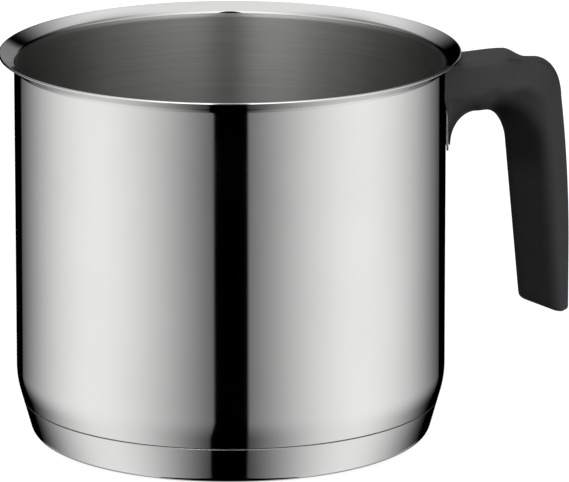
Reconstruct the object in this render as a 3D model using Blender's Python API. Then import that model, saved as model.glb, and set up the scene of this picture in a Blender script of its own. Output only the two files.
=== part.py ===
"""Milk pan: a drawn steel pot with a pouring rim, an encapsulated base and a moulded hook handle.

Metres, +Z up. The origin is the centre of the flat underside. The handle points to +X, and the part is
symmetric about the XZ plane. Angles are in degrees.
"""

import math

import bmesh
import bpy
from mathutils import Vector

# Fits
SEAT_GAP = 0.0003  # left between two pieces that touch
SHANK_GAP = 0.0003  # all round the screw's shank
CUT_OVERRUN = 0.004  # how far a cutter runs past what it cuts

# Pot
POT_BORE_RADIUS = 0.070
POT_HEIGHT = 0.1289
POT_SHEET = 0.0008
RIM_REACH = 0.0050  # how far the pouring rim stands out from the wall
RIM_BEND = 0.0020  # hollow side of the bend that starts the pouring rim
RIM_FLARE = 60.0  # the rim's lean from upright
SHOULDER_HEIGHT = 0.0238  # where the wall starts to draw in
SHOULDER_RADIUS = 0.030
SKIRT_LEAN = 15.8
POT_CORNER = 0.0073  # outside bend into the pot's floor, hidden in the base
JOGGLE_SHARES = (0.25, 0.5, 0.75)  # heights along the skirt where its inside steps in over the cap's edge

# Base
SEAM_HEIGHT = 0.0127
CAP_SHEET = 0.0006
CAP_CORNER = 0.0046
CAP_CHAMFER = 0.00015
CORE_THICKNESS = 0.0050
CORE_LAND = 0.0008  # width of the core's blunt upper edge

# Handle, in side view
RIM_OVER_ARM = 0.0027  # from the arm's top, where it meets the rim, up to the rim's edge
THUMB_RISE = 0.0018  # how much the arm climbs to its thumb rest
THUMB_REACH = 0.0187  # of the thumb rest's highest point, from the pot's wall
THUMB_FALL = 0.0072  # length of the slope behind the thumb rest
SPINE_DROP = 0.0017  # how far that slope falls
HANDLE_REACH = 0.0406  # of the grip's outer face, from the pot's wall
HANDLE_DROP = 0.0850  # from the arm's top to the grip's lowest point
END_SLOPE = 16.5  # of the grip's end face
ROOT_DROP = 0.0118  # from the arm's underside to the root's lower tip
ROOT_TIP_WALL = 0.0015  # from the pot's wall to the tip's outer face
STAND_RISE = 0.0040  # above the arch: the root touches the wall from here up and stands off it below
STAND_SLOPE = 0.0050  # height of the slope under that line
STAND_ROOM = 0.0001  # more than the bracket's pad needs
ARM_THICKNESS = 0.0162
ARCH_START = 0.0102  # from the pot's wall to where the root's curve ends
ARCH_FLAT = 0.0025  # level stretch of the arch
ARCH_CORNER_REACH = 0.0057
ARCH_CORNER_DROP = 0.0108
GRIP_LEAN = 5.3  # of the grip's finger side
ELBOW_REACH = 0.0090  # of the outer elbow, along the top
ELBOW_DROP = 0.0118  # of the outer elbow, down the grip
GRIP_STRAIGHT = 0.0214  # from the grip's end up to where its back starts to lean in
GRIP_DRAW = 0.0029  # how much the back leans in from there to the elbow

# Handle, half widths: at its edge towards the fingers, at its widest and at its back
ROOT_TIP_HALF = 0.0076
ARM_LOWER_HALF = 0.0088
FINGER_HALF = 0.0046
NARROW_SHARES = (0.0, 0.45)  # of the elbow, between which the underside narrows
ROOT_HALF = 0.0108
ARM_HALF = 0.0103
GRIP_HALF = 0.0094
ROOT_TOP_HALF = 0.0097
THUMB_HALF = 0.0092
SPINE_HALF = 0.0036

# Handle, depth from its back to its widest line, and edge rounding
ARM_DEPTH = 0.0115
GRIP_DEPTH = 0.0066
END_DEPTH = 0.0025
BACK_EDGE = 0.0022
SIDE_ROUND = 0.0070
TIP_ROUND = 0.0028
ARCH_ROUND = 0.0044
FINGER_ROUND = 0.0034
END_ROUND = 0.0012
END_CORNER = 0.0019  # of the grip's end, at its back

# Bracket
BRACKET_SHEET = 0.0006
PAD_PAST_TIP = 0.0022  # how far the pad shows below the root's tip
PAD_UNDER_ARM = 0.0036  # from the arm's top down to the pad's upper edge
PAD_HALF = 0.0068
PAD_CORNER = 0.0025
CHANNEL_HALF = 0.0062
CHANNEL_HEIGHT = 0.0048
CHANNEL_REACH = 0.0160  # from the pad's outer face
SOCKET_ROOM = 0.0004  # between the channel and the sides of its socket
POCKET_ROOM = 0.0005  # between the pad and the sides of its pocket

# Fixings
SCREW_REACH = 0.0108  # from the pot's wall to the screw's axis
SHANK_RADIUS = 0.0019
SHANK_CHAMFER = 0.0004
HEAD_RADIUS = 0.0036
HEAD_HEIGHT = 0.0022
HEAD_EDGE = 0.0009  # straight side of the head
HEAD_SINK = 0.0003  # from the arch's surface up to the head
DRIVE_SPAN = 0.0042
DRIVE_WIDTH = 0.0009
DRIVE_DEPTH = 0.0012
SCREW_PAST_NUT = 0.0005
WASHER_RADIUS = 0.0037
WASHER_THICKNESS = 0.0009
WASHER_SLIT = 16.0
COUNTERBORE_RADIUS = 0.0044
CLAMP_WALL = 0.0032  # plastic between the washer and the channel
NUT_FLATS = 0.0070
NUT_HEIGHT = 0.0028
NUT_ROOM = 0.0008  # above the nut, in the socket

# Facets
TURN_STEPS = 72
FIXING_STEPS = 24
CORNER_STEPS = 5
EDGE_STEPS = 4
ROOT_RINGS = 9
ELBOW_RINGS = 17
GRIP_RINGS = 8
END_RINGS = 3

# Sizes that follow
WALL = POT_BORE_RADIUS + POT_SHEET
RIM_RADIUS = WALL + RIM_REACH
HANDLE_TOP = POT_HEIGHT - RIM_OVER_ARM
HANDLE_END = HANDLE_TOP - HANDLE_DROP
ARCH_HEIGHT = HANDLE_TOP - ARM_THICKNESS
ROOT_TIP = ARCH_HEIGHT - ROOT_DROP
GRIP_LOW = HANDLE_END + GRIP_STRAIGHT
PAD_BOTTOM = ROOT_TIP - PAD_PAST_TIP
PAD_TOP = HANDLE_TOP - PAD_UNDER_ARM
JOGGLE = CAP_SHEET + SEAT_GAP
POT_UNDERSIDE = CAP_SHEET + SEAT_GAP + CORE_THICKNESS + SEAT_GAP
PAD_INNER = WALL + SEAT_GAP
PAD_OUTER = PAD_INNER + BRACKET_SHEET
SCREW_X = WALL + SCREW_REACH
HEAD_SEAT = ARCH_HEIGHT + HEAD_SINK + HEAD_HEIGHT
WASHER_SEAT = HEAD_SEAT + SEAT_GAP
COUNTERBORE_TOP = WASHER_SEAT + WASHER_THICKNESS + SEAT_GAP
SOCKET_FLOOR = COUNTERBORE_TOP + CLAMP_WALL
CHANNEL_BOTTOM = SOCKET_FLOOR + SEAT_GAP
NUT_SEAT = CHANNEL_BOTTOM + BRACKET_SHEET + SEAT_GAP
SOCKET_ROOF = max(NUT_SEAT + NUT_HEIGHT, CHANNEL_BOTTOM + CHANNEL_HEIGHT) + NUT_ROOM
SHANK_LENGTH = NUT_SEAT + NUT_HEIGHT + SCREW_PAST_NUT - HEAD_SEAT
BORE_RADIUS = SHANK_RADIUS + SHANK_GAP
MERGE_DISTANCE = 1e-7


def clear_scene():
    for old in list(bpy.data.objects):
        bpy.data.objects.remove(old, do_unlink=True)


def finish_material(name, colour, roughness, metallic):
    made = bpy.data.materials.new(name)
    made.use_nodes = True
    shader = made.node_tree.nodes["Principled BSDF"]
    shader.inputs["Base Color"].default_value = (*colour, 1.0)
    shader.inputs["Roughness"].default_value = roughness
    shader.inputs["Metallic"].default_value = metallic
    return made


def place(name, bm, finish, parent, location=(0.0, 0.0, 0.0)):
    """A named object from a bmesh, its faces turned outwards and its round stretches shaded smooth."""
    bmesh.ops.remove_doubles(bm, verts=bm.verts, dist=MERGE_DISTANCE)
    bmesh.ops.recalc_face_normals(bm, faces=bm.faces)
    mesh = bpy.data.meshes.new(name)
    bm.to_mesh(mesh)
    bm.free()
    mesh.shade_smooth()
    mesh.set_sharp_from_angle(angle=math.radians(35.0))
    made = bpy.data.objects.new(name, mesh)
    made.location = location
    made.parent = parent
    if finish:
        mesh.materials.append(finish)
    else:
        made.hide_render = True
        made.display_type = "WIRE"
    bpy.context.scene.collection.objects.link(made)
    return made


def boolean(target, tool, operation="DIFFERENCE"):
    step = target.modifiers.new(tool.name, "BOOLEAN")
    step.object = tool
    step.operation = operation
    step.solver = "EXACT"


def mix(a, b, share):
    return a + (b - a) * share


def ease(share):
    share = min(max(share, 0.0), 1.0)
    return share * share * (3.0 - 2.0 * share)


def arc(centre, radius, start, end, steps):
    """Points in the XZ plane round a centre. Angles run from +X towards +Z."""
    points = []
    for i in range(steps + 1):
        angle = math.radians(start + (end - start) * i / steps)
        points.append((centre[0] + radius * math.cos(angle), centre[1] + radius * math.sin(angle)))
    return points


def turned(profile, steps):
    """A profile of (radius, height) points spun round the Z axis."""
    bm = bmesh.new()
    row = [bm.verts.new((x, 0.0, z)) for x, z in profile]
    edges = [bm.edges.new(pair) for pair in zip(row, row[1:])]
    if profile[0][0] > 0.0:
        edges.append(bm.edges.new((row[-1], row[0])))
    bmesh.ops.spin(
        bm, geom=edges, cent=(0.0, 0.0, 0.0), axis=(0.0, 0.0, 1.0),
        angle=math.tau, steps=steps, use_merge=True,
    )
    return bm


def lofted(rings):
    """A closed skin through rings of points, capped at both ends."""
    bm = bmesh.new()
    rows = [[bm.verts.new(point) for point in ring] for ring in rings]
    for row, after in zip(rows, rows[1:]):
        for i in range(len(row)):
            j = (i + 1) % len(row)
            bm.faces.new((row[i], row[j], after[j], after[i]))
    bm.faces.new(rows[0])
    bm.faces.new(rows[-1])
    return bm


def block(low, high):
    """A box between two corners."""
    flat = [(low[0], low[1]), (high[0], low[1]), (high[0], high[1]), (low[0], high[1])]
    return lofted([[(x, y, z) for x, y in flat] for z in (low[2], high[2])])


def cylinder(radius, low, high):
    return turned([(0.0, high), (radius, high), (radius, low), (0.0, low)], FIXING_STEPS)


# Turned profiles of the pot and its base


def skirt_radius(height, inset):
    """Radius of the leaning skirt at a height, on a line moved inwards by inset, square to its surface."""
    lean = math.radians(SKIRT_LEAN)
    start = WALL - SHOULDER_RADIUS * (1.0 - math.cos(lean))
    drop = SHOULDER_HEIGHT - SHOULDER_RADIUS * math.sin(lean) - height
    return start - drop * math.tan(lean) - inset / math.cos(lean)


def corner_centre(inset, floor, radius):
    """Centre of a bend that runs from the skirt's line, moved in by inset, to a level floor."""
    return skirt_radius(floor + radius, inset + radius), floor + radius


def corner(inset, floor, radius):
    """The bend's points, from the skirt down to the floor."""
    return arc(corner_centre(inset, floor, radius), radius, -SKIRT_LEAN, -90.0, CORNER_STEPS)


def shoulder(inset):
    """The wall's slow bend into the skirt, top to bottom."""
    centre = (WALL - SHOULDER_RADIUS, SHOULDER_HEIGHT)
    return arc(centre, SHOULDER_RADIUS - inset, 0.0, -SKIRT_LEAN, CORNER_STEPS)


def rim_frame():
    """Centre of the rim's bend and centre of its rounded lip."""
    lean = math.radians(RIM_FLARE)
    middle = RIM_BEND + POT_SHEET / 2.0
    bend_x = WALL + RIM_BEND
    run = (RIM_RADIUS - POT_SHEET / 2.0 - bend_x + middle * math.cos(lean)) / math.sin(lean)
    rise = middle * math.sin(lean) + run * math.cos(lean)
    bend = (bend_x, POT_HEIGHT - POT_SHEET / 2.0 - rise)
    return bend, (RIM_RADIUS - POT_SHEET / 2.0, POT_HEIGHT - POT_SHEET / 2.0)


def pot_profile():
    """The inside from the floor's centre up to the lip, then the outside down to the underside."""
    bend, lip = rim_frame()
    inner_corner = arc(
        corner_centre(JOGGLE, POT_UNDERSIDE, POT_CORNER), POT_CORNER - POT_SHEET,
        -90.0, -SKIRT_LEAN, CORNER_STEPS,
    )
    inner_shoulder = shoulder(POT_SHEET)[::-1]
    low, high = inner_corner[-1][1], inner_shoulder[0][1]
    joggle = []
    for share in JOGGLE_SHARES:
        height = mix(low, high, share)
        joggle.append((skirt_radius(height, POT_SHEET + JOGGLE * (1.0 - ease(share))), height))
    inside = [(0.0, POT_UNDERSIDE + POT_SHEET)] + inner_corner + joggle + inner_shoulder
    rim = arc(bend, RIM_BEND + POT_SHEET, 180.0, 180.0 - RIM_FLARE, EDGE_STEPS)
    rim += arc(lip, POT_SHEET / 2.0, 180.0 - RIM_FLARE, -RIM_FLARE, EDGE_STEPS)
    rim += arc(bend, RIM_BEND, 180.0 - RIM_FLARE, 180.0, EDGE_STEPS)
    ledge = SEAM_HEIGHT + SEAT_GAP
    outside = shoulder(0.0) + [(skirt_radius(ledge, 0.0), ledge), (skirt_radius(ledge, JOGGLE), ledge)]
    outside += corner(JOGGLE, POT_UNDERSIDE, POT_CORNER) + [(0.0, POT_UNDERSIDE)]
    return inside + rim + outside


def cap_profile():
    """A shallow tray: the inside from the centre out and up to the seam, then the outside down."""
    inside = [(0.0, CAP_SHEET)] + corner(CAP_SHEET, CAP_SHEET, CAP_CORNER - CAP_SHEET)[::-1]
    chamfer = SEAM_HEIGHT - CAP_CHAMFER
    edge = [
        (skirt_radius(SEAM_HEIGHT, CAP_SHEET), SEAM_HEIGHT),
        (skirt_radius(SEAM_HEIGHT, CAP_CHAMFER), SEAM_HEIGHT),
        (skirt_radius(chamfer, 0.0), chamfer),
    ]
    return inside + edge + corner(0.0, 0.0, CAP_CORNER) + [(0.0, 0.0)]


def core_profile():
    """A disc whose edge rises between the pot's bend and the cap's side."""
    lean = math.radians(SKIRT_LEAN)
    centre = corner_centre(JOGGLE, POT_UNDERSIDE, POT_CORNER)
    hollow = POT_CORNER + SEAT_GAP
    turn = math.degrees(math.acos((POT_CORNER - CORE_LAND) / hollow))
    top = arc(centre, hollow, -90.0, -SKIRT_LEAN - turn, CORNER_STEPS)
    tip = (top[-1][0] + CORE_LAND * math.cos(lean), top[-1][1] - CORE_LAND * math.sin(lean))
    floor = CAP_SHEET + SEAT_GAP
    return [(0.0, top[0][1])] + top + [tip] + corner(floor, floor, CAP_CORNER - floor) + [(0.0, floor)]


def rim_cutter_profile():
    """The pot's outside with its fit gap, stepped out behind the root's lower part."""
    bend, lip = rim_frame()
    top, low = POT_HEIGHT + CUT_OVERRUN, ROOT_TIP - CUT_OVERRUN
    side = arc(lip, POT_SHEET / 2.0 + SEAT_GAP, 0.0, -RIM_FLARE, CORNER_STEPS)
    side += arc(bend, RIM_BEND - SEAT_GAP, 180.0 - RIM_FLARE, 180.0, CORNER_STEPS)
    reach, stand = RIM_RADIUS + SEAT_GAP, ARCH_HEIGHT + STAND_RISE
    clear = PAD_OUTER + SEAT_GAP + STAND_ROOM
    side += [(WALL + SEAT_GAP, stand), (clear, stand - STAND_SLOPE), (clear, low)]
    return [(0.0, top), (reach, top)] + side + [(0.0, low)]


# Handle


def rounded_turn(start, corner_point, end, steps):
    """A quarter of an ellipse that leaves start and reaches end along the lines to the corner."""
    points = []
    for i in range(steps + 1):
        angle = math.pi / 2.0 * i / steps
        a, b = 1.0 - math.sin(angle), 1.0 - math.cos(angle)
        points.append(corner_point + (start - corner_point) * a + (end - corner_point) * b)
    return points


def spaced(path, count):
    """Points at even distances along a path, both ends kept."""
    lengths = [0.0]
    for a, b in zip(path, path[1:]):
        lengths.append(lengths[-1] + (b - a).length)
    found, i = [], 0
    for k in range(count):
        target = lengths[-1] * k / (count - 1)
        while i < len(path) - 2 and lengths[i + 1] < target:
            i += 1
        span = lengths[i + 1] - lengths[i]
        found.append(path[i].lerp(path[i + 1], (target - lengths[i]) / span))
    return found


def past_thumb(x):
    """How far a place on the X axis is down the slope behind the thumb rest, from 0 to 1."""
    return ease((x - WALL - THUMB_REACH) / THUMB_FALL)


def arm_top(x):
    """Height of the arm's top: it climbs a little to the thumb rest and falls behind it."""
    return HANDLE_TOP + THUMB_RISE * ease((x - WALL) / THUMB_REACH) - SPINE_DROP * past_thumb(x)


def grip_back(z):
    """Where the grip's back stands at a height: straight below, leaning in towards the elbow."""
    top = HANDLE_TOP - ELBOW_DROP
    share = max(z - GRIP_LOW, 0.0) / (top - GRIP_LOW)
    return WALL + HANDLE_REACH - GRIP_DRAW * share * share


def side_view():
    """Pairs of (finger side, back) points in the XZ plane, from the root round to the grip's end."""
    arch = Vector((WALL + ARCH_START, ARCH_HEIGHT))
    tip = Vector((WALL + ROOT_TIP_WALL, ROOT_TIP))
    root = rounded_turn(tip, Vector((tip.x, arch.y)), arch, ROOT_RINGS - 1)
    pairs = [(point, Vector((point.x, arm_top(point.x)))) for point in root]
    pairs.insert(0, (Vector((WALL - CUT_OVERRUN, tip.y)), Vector((WALL - CUT_OVERRUN, HANDLE_TOP))))

    lean = math.tan(math.radians(GRIP_LEAN))
    turn = arch + Vector((ARCH_FLAT, 0.0))
    under = Vector((turn.x + ARCH_CORNER_REACH, turn.y))
    finger_top = under + Vector((lean * ARCH_CORNER_DROP, -ARCH_CORNER_DROP))
    inner = [arch] + rounded_turn(turn, under, finger_top, ELBOW_RINGS)

    back_top = HANDLE_TOP - ELBOW_DROP
    back = Vector((grip_back(back_top), back_top))
    elbow = Vector((back.x - ELBOW_REACH, arm_top(back.x - ELBOW_REACH)))
    steps = [arch.x + (elbow.x - arch.x) * i / ELBOW_RINGS for i in range(ELBOW_RINGS)]
    outer = [Vector((x, arm_top(x))) for x in steps]
    outer += rounded_turn(elbow, Vector((back.x, elbow.y)), back, ELBOW_RINGS)
    pairs += list(zip(spaced(inner, ELBOW_RINGS), spaced(outer, ELBOW_RINGS)))[1:]

    end_back = Vector((grip_back(HANDLE_END), HANDLE_END))
    slope = math.tan(math.radians(END_SLOPE))
    rise = (end_back.x - finger_top.x) * slope
    drop = (finger_top.y - HANDLE_END - rise) / (1.0 - lean * slope)
    end_finger = finger_top + Vector((lean * drop, -drop))
    for i in range(1, GRIP_RINGS + 1):
        share = i / GRIP_RINGS
        z = mix(back.y, end_back.y, share)
        pairs.append((finger_top.lerp(end_finger, share), Vector((grip_back(z), z))))
    return pairs


def filleted(corners, rounds):
    """A closed outline with an arc at each corner. An arc is held to a share of its two sides."""
    most_share = 0.48
    outline = []
    for i, here in enumerate(corners):
        to_last = corners[i - 1] - here
        to_next = corners[(i + 1) % len(corners)] - here
        half = to_last.angle(to_next) / 2.0
        reach = min(rounds[i] / math.tan(half), most_share * to_last.length, most_share * to_next.length)
        start = here + to_last.normalized() * reach
        end = here + to_next.normalized() * reach
        for k in range(EDGE_STEPS + 1):
            a, b = 1.0 - k / EDGE_STEPS, k / EDGE_STEPS
            pull = 2.0 * a * b * math.sin(half)
            outline.append((start * a * a + here * pull + end * b * b) / (a * a + pull + b * b))
    return outline


def section(finger, back, halves, depth, rounds, hug, inset=0.0):
    """One ring of the handle, from its finger side to its back, bent round the pot by the share hug."""
    rise = back - finger
    length = rise.length
    rise.normalize()
    low, wide, high = (half - inset for half in halves)
    side = [Vector((low, inset)), Vector((wide, length - depth)), Vector((high, length - inset))]
    corners = side + [Vector((-corner.x, corner.y)) for corner in reversed(side)]
    least = END_ROUND / EDGE_STEPS
    held = [max(radius - inset, least) for radius in rounds]
    ring = []
    for across, along in filleted(corners, held + held[::-1]):
        point = finger + rise * along
        bend = (WALL - math.sqrt(WALL * WALL - across * across)) * hug
        ring.append((point.x - bend, across, point.y))
    return ring


def handle_rings():
    """The handle's sections, from inside the pot's wall round to the grip's rounded end."""
    pairs = side_view()
    sections = []
    for i, (finger, back) in enumerate(pairs):
        root = min((finger.x - WALL - ROOT_TIP_WALL) / (ARCH_START - ROOT_TIP_WALL), 1.0)
        along = (i - ROOT_RINGS) / (ELBOW_RINGS - 1)
        turn = ease(along)
        narrow = ease((along - NARROW_SHARES[0]) / (NARROW_SHARES[1] - NARROW_SHARES[0]))
        down = max(i - ROOT_RINGS - ELBOW_RINGS + 1, 0) / GRIP_RINGS
        low = mix(mix(ROOT_TIP_HALF, ARM_LOWER_HALF, root), FINGER_HALF, narrow)
        low_round = mix(mix(TIP_ROUND, ARCH_ROUND, root), FINGER_ROUND, turn)
        wide = mix(mix(ROOT_HALF, ARM_HALF, root), GRIP_HALF, turn)
        thumb = mix(ROOT_TOP_HALF, THUMB_HALF, min((back.x - WALL) / THUMB_REACH, 1.0))
        high = mix(thumb, SPINE_HALF, past_thumb(back.x))
        depth = mix(mix(ARM_DEPTH, GRIP_DEPTH, turn), END_DEPTH, down)
        rounds = (low_round, SIDE_ROUND, BACK_EDGE)
        sections.append((finger, back, (low, wide, high), depth, rounds, 1.0 - root))
    finger, back, halves, depth, rounds, hug = sections.pop()
    up_finger = (sections[-1][0] - finger).normalized()
    up_back = (sections[-1][1] - back).normalized()
    inwards = (finger - back).normalized()
    rings = [section(*each) for each in sections]
    for k in range(END_RINGS + 1):
        angle = math.pi / 2.0 * k / END_RINGS
        up, across = 1.0 - math.sin(angle), 1.0 - math.cos(angle)
        end_finger = finger + up_finger * END_ROUND * up
        end_back = back + up_back * END_CORNER * up + inwards * (END_CORNER - END_ROUND) * across
        rings.append(section(end_finger, end_back, halves, depth, rounds, hug, END_ROUND * across))
    return rings


def make_handle(finish, parent):
    handle = place("handle", lofted(handle_rings()), finish, parent)
    cuts = {
        "pot_clearance": turned(rim_cutter_profile(), TURN_STEPS),
        "pad_pocket": pad(PAD_OUTER + SEAT_GAP, POCKET_ROOM, WALL - CUT_OVERRUN),
        "channel_socket": block(
            (WALL, -CHANNEL_HALF - SOCKET_ROOM, SOCKET_FLOOR),
            (PAD_OUTER + CHANNEL_REACH + SOCKET_ROOM, CHANNEL_HALF + SOCKET_ROOM, SOCKET_ROOF),
        ),
    }
    for name, bm in cuts.items():
        boolean(handle, place(name, bm, None, parent))
    at_screw = (SCREW_X, 0.0, 0.0)
    shaft = cylinder(BORE_RADIUS, COUNTERBORE_TOP - CLAMP_WALL / 2.0, SOCKET_FLOOR + CLAMP_WALL / 2.0)
    boolean(handle, place("shank_hole", shaft, None, parent, at_screw))
    well = cylinder(COUNTERBORE_RADIUS, ARCH_HEIGHT - CUT_OVERRUN, COUNTERBORE_TOP)
    boolean(handle, place("counterbore", well, None, parent, at_screw))
    return handle


# Bracket and fixings


def pad(outer, room, inner):
    """A plate that follows the wall between two radii, with rounded ends. Room widens it all round."""
    half, low, high = PAD_HALF + room, PAD_BOTTOM - room, PAD_TOP + room
    rings = []
    quarter = [math.pi / 2.0 * k / CORNER_STEPS for k in range(CORNER_STEPS + 1)]
    rows = [(low + PAD_CORNER * (1.0 - math.cos(a)), PAD_CORNER * (1.0 - math.sin(a))) for a in quarter]
    rows += [(high - PAD_CORNER * (1.0 - math.sin(a)), PAD_CORNER * (1.0 - math.cos(a))) for a in quarter]
    for height, narrower in rows:
        reach = math.degrees(math.asin((half - narrower) / outer))
        outside = arc((0.0, 0.0), outer, -reach, reach, CORNER_STEPS)
        inside = arc((0.0, 0.0), inner, reach, -reach, CORNER_STEPS)
        rings.append([(x, y, height) for x, y in outside + inside])
    return lofted(rings)


def channel():
    """A trough, open at the top, that runs from inside the pad out along +X."""
    top = CHANNEL_BOTTOM + CHANNEL_HEIGHT
    web = CHANNEL_BOTTOM + BRACKET_SHEET
    inside = CHANNEL_HALF - BRACKET_SHEET
    outline = [
        (-CHANNEL_HALF, CHANNEL_BOTTOM), (CHANNEL_HALF, CHANNEL_BOTTOM), (CHANNEL_HALF, top), (inside, top),
        (inside, web), (-inside, web), (-inside, top), (-CHANNEL_HALF, top),
    ]
    ends = (PAD_OUTER - BRACKET_SHEET / 2.0, PAD_OUTER + CHANNEL_REACH)
    return lofted([[(x, y, z) for y, z in outline] for x in ends])


def make_bracket(finish, parent):
    bracket = place("handle_bracket", pad(PAD_OUTER, 0.0, PAD_INNER), finish, parent)
    boolean(bracket, place("channel_shape", channel(), None, parent), "UNION")
    hole = cylinder(BORE_RADIUS, CHANNEL_BOTTOM - BRACKET_SHEET, CHANNEL_BOTTOM + 2.0 * BRACKET_SHEET)
    boolean(bracket, place("bracket_hole", hole, None, parent, (SCREW_X, 0.0, 0.0)))
    return bracket


def make_nut(finish, parent):
    corners = [math.radians(60.0 * i) for i in range(6)]
    reach = NUT_FLATS / math.sqrt(3.0)
    flat = [(reach * math.cos(a), reach * math.sin(a)) for a in corners]
    body = lofted([[(x, y, z) for x, y in flat] for z in (0.0, NUT_HEIGHT)])
    nut = place("bracket_nut", body, finish, parent, (SCREW_X, 0.0, NUT_SEAT))
    bore = cylinder(BORE_RADIUS, -CUT_OVERRUN, NUT_HEIGHT + CUT_OVERRUN)
    boolean(nut, place("nut_bore", bore, None, nut))
    return nut


def make_screw(finish, parent):
    """A pan-head screw that points up, its own origin under its head."""
    crown = HEAD_HEIGHT - HEAD_EDGE
    dome = []
    for k in range(CORNER_STEPS + 1):
        angle = math.pi / 2.0 * k / CORNER_STEPS
        dome.append((HEAD_RADIUS * math.cos(angle) ** 0.5, -HEAD_EDGE - crown * math.sin(angle)))
    dome[-1] = (0.0, -HEAD_HEIGHT)
    profile = [
        (0.0, SHANK_LENGTH), (SHANK_RADIUS - SHANK_CHAMFER, SHANK_LENGTH),
        (SHANK_RADIUS, SHANK_LENGTH - SHANK_CHAMFER), (SHANK_RADIUS, 0.0), (HEAD_RADIUS, 0.0),
    ]
    body = turned(profile + dome, FIXING_STEPS)
    screw = place("handle_screw", body, finish, parent, (SCREW_X, 0.0, HEAD_SEAT))
    long, thin = DRIVE_SPAN / 2.0, DRIVE_WIDTH / 2.0
    cross = []
    for quarter in range(4):
        turn = math.radians(90.0 * quarter)
        for x, y in ((thin, -long), (thin, -thin), (long, -thin)):
            cross.append((x * math.cos(turn) - y * math.sin(turn), x * math.sin(turn) + y * math.cos(turn)))
    depths = (-HEAD_HEIGHT - CUT_OVERRUN, -HEAD_HEIGHT + DRIVE_DEPTH)
    recess = lofted([[(x, y, z) for x, y in cross] for z in depths])
    boolean(screw, place("drive_recess", recess, None, screw))
    return screw


def make_washer(finish, parent):
    """A split ring, flat under load."""
    outline = [
        (WASHER_RADIUS, 0.0), (WASHER_RADIUS, WASHER_THICKNESS),
        (BORE_RADIUS, WASHER_THICKNESS), (BORE_RADIUS, 0.0),
    ]
    rings = []
    for k in range(FIXING_STEPS + 1):
        turn = math.radians(WASHER_SLIT / 2.0 + (360.0 - WASHER_SLIT) * k / FIXING_STEPS)
        rings.append([(r * math.cos(turn), r * math.sin(turn), z) for r, z in outline])
    return place("spring_washer", lofted(rings), finish, parent, (SCREW_X, 0.0, WASHER_SEAT))


def build():
    clear_scene()
    pan = bpy.data.objects.new("milk_pan", None)
    bpy.context.scene.collection.objects.link(pan)
    polished = finish_material("polished_steel", (0.62, 0.62, 0.61), 0.12, 1.0)
    aluminium = finish_material("aluminium", (0.80, 0.80, 0.81), 0.45, 1.0)
    plain = finish_material("plain_steel", (0.55, 0.55, 0.54), 0.35, 1.0)
    black = finish_material("black_plastic", (0.028, 0.028, 0.029), 0.55, 0.0)
    place("pot_body", turned(pot_profile(), TURN_STEPS), polished, pan)
    place("base_core", turned(core_profile(), TURN_STEPS), aluminium, pan)
    place("base_cap", turned(cap_profile(), TURN_STEPS), polished, pan)
    make_bracket(plain, pan)
    make_nut(plain, pan)
    make_handle(black, pan)
    make_screw(plain, pan)
    make_washer(plain, pan)


build()
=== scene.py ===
"""Looks of a tall steel milk pan: a mirror-polished pot, satin inside, on a capped base, with a black
moulded hook handle. It stands on a pale floor in soft studio light. Metres, in the solids' own frame."""

import math

import bmesh
import bpy
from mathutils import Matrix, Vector


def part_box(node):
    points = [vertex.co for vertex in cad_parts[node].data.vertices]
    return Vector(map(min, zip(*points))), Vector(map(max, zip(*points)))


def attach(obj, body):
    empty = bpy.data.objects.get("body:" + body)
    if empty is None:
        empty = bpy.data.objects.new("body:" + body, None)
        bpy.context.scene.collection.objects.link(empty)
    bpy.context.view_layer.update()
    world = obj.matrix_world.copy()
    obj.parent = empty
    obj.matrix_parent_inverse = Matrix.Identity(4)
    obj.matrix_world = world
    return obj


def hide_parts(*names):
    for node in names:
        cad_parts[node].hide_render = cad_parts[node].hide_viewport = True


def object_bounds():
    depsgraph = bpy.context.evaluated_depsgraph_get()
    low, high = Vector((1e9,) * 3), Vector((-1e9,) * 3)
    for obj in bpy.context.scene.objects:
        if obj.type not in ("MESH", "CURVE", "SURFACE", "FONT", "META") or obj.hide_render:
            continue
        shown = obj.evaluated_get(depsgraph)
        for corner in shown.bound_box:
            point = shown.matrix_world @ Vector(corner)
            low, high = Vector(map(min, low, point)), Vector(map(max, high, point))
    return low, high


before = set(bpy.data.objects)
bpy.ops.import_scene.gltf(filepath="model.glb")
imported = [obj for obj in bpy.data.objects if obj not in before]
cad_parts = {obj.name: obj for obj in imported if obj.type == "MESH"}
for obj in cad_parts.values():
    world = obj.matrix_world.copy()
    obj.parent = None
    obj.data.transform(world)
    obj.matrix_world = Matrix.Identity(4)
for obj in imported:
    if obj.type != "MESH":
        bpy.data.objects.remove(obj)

CAD_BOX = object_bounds()

# Camera
CAMERA_DISTANCE = 2.3165
CAMERA_TARGET_HEIGHT = 0.06017
CAMERA_FALL = 14.47
CAMERA_FAR_LIMIT = 50.0
LENS_MM = 444.34
SENSOR_MM = 36.0

# Pot
POT_BORE_RADIUS = 0.070
POT_HEIGHT = 0.1289
POT_SHEET = 0.0008
RIM_REACH = 0.0050
RIM_BEND = 0.0020
RIM_FLARE = 60.0
SHOULDER_HEIGHT = 0.0238
SHOULDER_RADIUS = 0.030
SKIRT_LEAN = 15.8
POT_CORNER = 0.0073
JOGGLE_SHARES = (0.25, 0.5, 0.75)

# Where the pot is satin: up to this turn of the rim's bend, and on the ledge under the cap's edge, where
# the satin's darker colour is painted shade in the seam
SATIN_TURN = 33.0
LEDGE_MARGIN = 0.00003
LEVEL_NORMAL = 0.5

# Base
SEAM_HEIGHT = 0.0127
CAP_SHEET = 0.0006
CAP_CORNER = 0.0046
CAP_EDGE_ROUND = 0.00022
CORE_THICKNESS = 0.0050

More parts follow.
